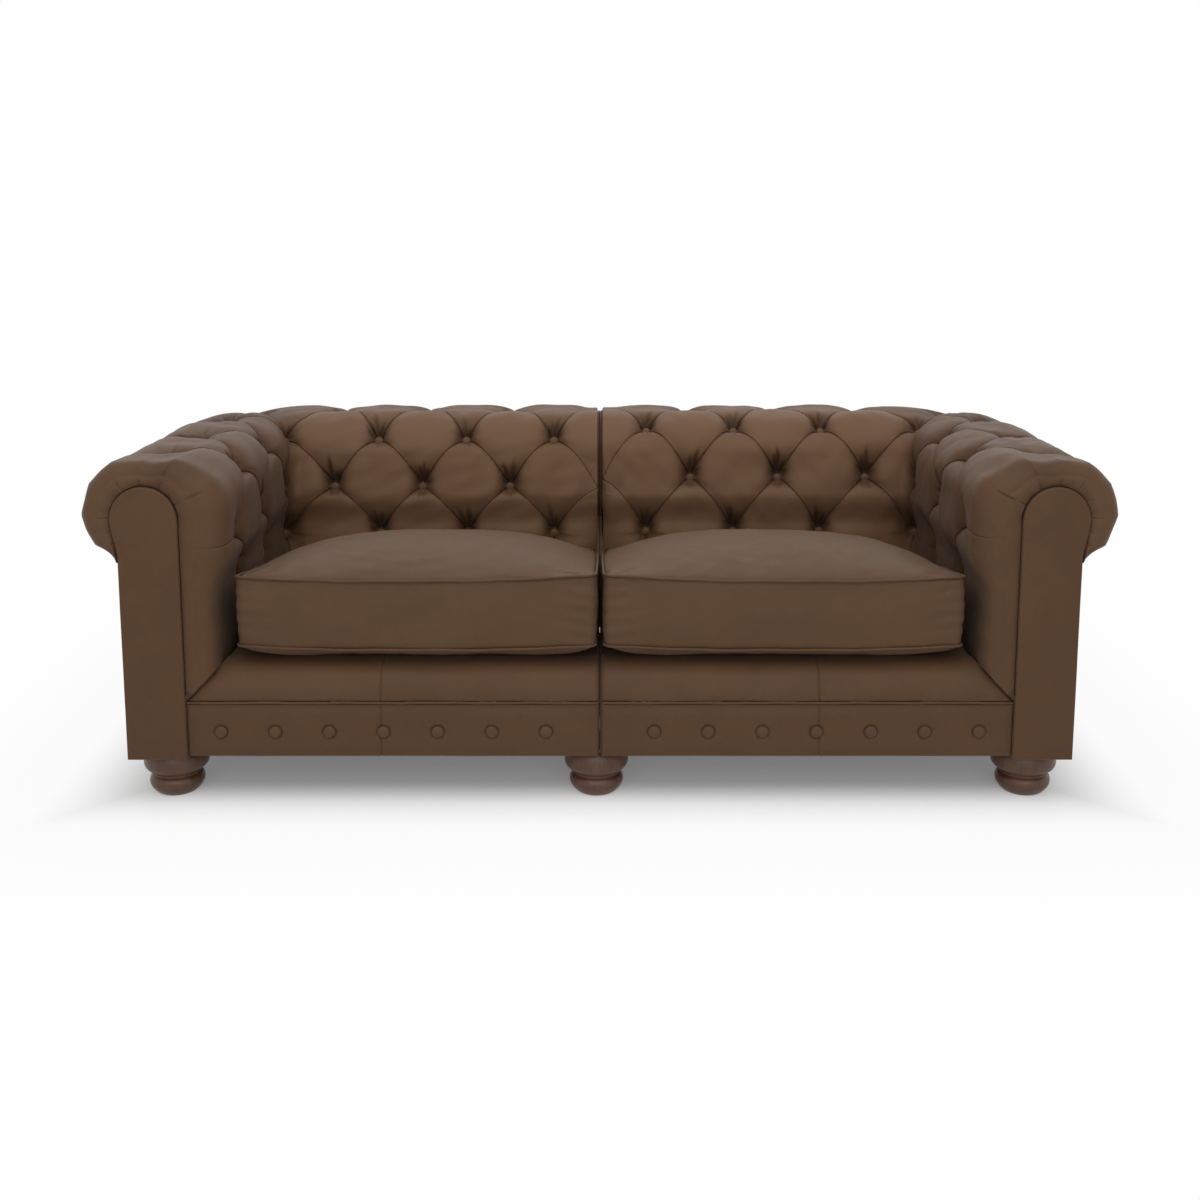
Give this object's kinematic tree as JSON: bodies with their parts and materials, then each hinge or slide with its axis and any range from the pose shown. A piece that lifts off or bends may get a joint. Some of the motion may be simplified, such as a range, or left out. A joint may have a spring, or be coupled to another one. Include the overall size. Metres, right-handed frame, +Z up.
{
  "type": "sectional chesterfield sofa",
  "caption": "Leather chesterfield sofa in two joined sections: rolled button-tufted arms and back at one height, loose seat cushions, turned wooden bun feet.",
  "frame": {"origin": "on the floor, under the middle of the sofa's bounding box", "axes": "+X along the sofa towards the section on the right in the front view, +Z up, the seat faces -Y"},
  "size_m": [2.2006, 0.9754, 0.7644],
  "materials": {
    "leather": "matte brown upholstery leather with faint mottling",
    "cushion_leather": "matte brown upholstery leather with faint mottling",
    "frame_wood": "plain sawn hardwood",
    "foot_wood": "turned hardwood, stained dark and satin lacquered",
    "foam": "upholstery foam",
    "dust_cloth": "black non-woven cloth",
    "spring_steel": "oiled spring wire",
    "zinc_steel": "bright zinc plate"
  },
  "bodies": {
    "left_half": {"left_seat_rails": "frame_wood", "left_side_rails": "frame_wood", "left_cross_rails": "frame_wood", "left_roll_rails": "frame_wood", "left_arm_front_post": "frame_wood", "left_scroll_ribs": "frame_wood", "left_corner_blocks": "frame_wood", "left_seat_springs": "spring_steel", "left_spring_clips": "spring_steel", "left_deck_foam": "foam", "left_deck_cover": "leather", "left_deck_front_roll": "leather", "left_front_border": "leather", "left_border_piping": "leather", "left_border_buttons": "leather", "left_inside_arm": "leather", "left_inside_back": "leather", "left_tuft_buttons": "leather", "left_arm_facing": "leather", "left_outside_arm": "leather", "left_outside_back": "leather", "left_seam_panel": "leather", "left_dust_cover": "dust_cloth", "left_feet": "foot_wood", "left_foot_fixings": "zinc_steel", "centre_feet": "foot_wood", "connector_receivers": "zinc_steel"},
    "right_half": {"right_seat_rails": "frame_wood", "right_side_rails": "frame_wood", "right_cross_rails": "frame_wood", "right_roll_rails": "frame_wood", "right_arm_front_post": "frame_wood", "right_scroll_ribs": "frame_wood", "right_corner_blocks": "frame_wood", "right_seat_springs": "spring_steel", "right_spring_clips": "spring_steel", "right_deck_foam": "foam", "right_deck_cover": "leather", "right_deck_front_roll": "leather", "right_front_border": "leather", "right_border_piping": "leather", "right_border_buttons": "leather", "right_inside_arm": "leather", "right_inside_back": "leather", "right_tuft_buttons": "leather", "right_arm_facing": "leather", "right_outside_arm": "leather", "right_outside_back": "leather", "right_seam_panel": "leather", "right_dust_cover": "dust_cloth", "right_feet": "foot_wood", "right_foot_fixings": "zinc_steel", "connector_hooks": "zinc_steel"},
    "left_cushion": {"left_cushion_cover": "cushion_leather", "left_cushion_core": "foam", "left_cushion_piping": "cushion_leather"},
    "right_cushion": {"right_cushion_cover": "cushion_leather", "right_cushion_core": "foam", "right_cushion_piping": "cushion_leather"}
  },
  "joints": [
    {"name": "right_section_lift", "type": "slide", "parent": "left_half", "child": "right_half", "axis": [0, 0, 1], "range_m": [0, 0.08]},
    {"name": "left_cushion_lift", "type": "slide", "parent": "left_half", "child": "left_cushion", "axis": [0, 0, 1], "range_m": [0, 0.35]},
    {"name": "right_cushion_lift", "type": "slide", "parent": "right_half", "child": "right_cushion", "axis": [0, 0, 1], "range_m": [0, 0.35]}
  ]
}
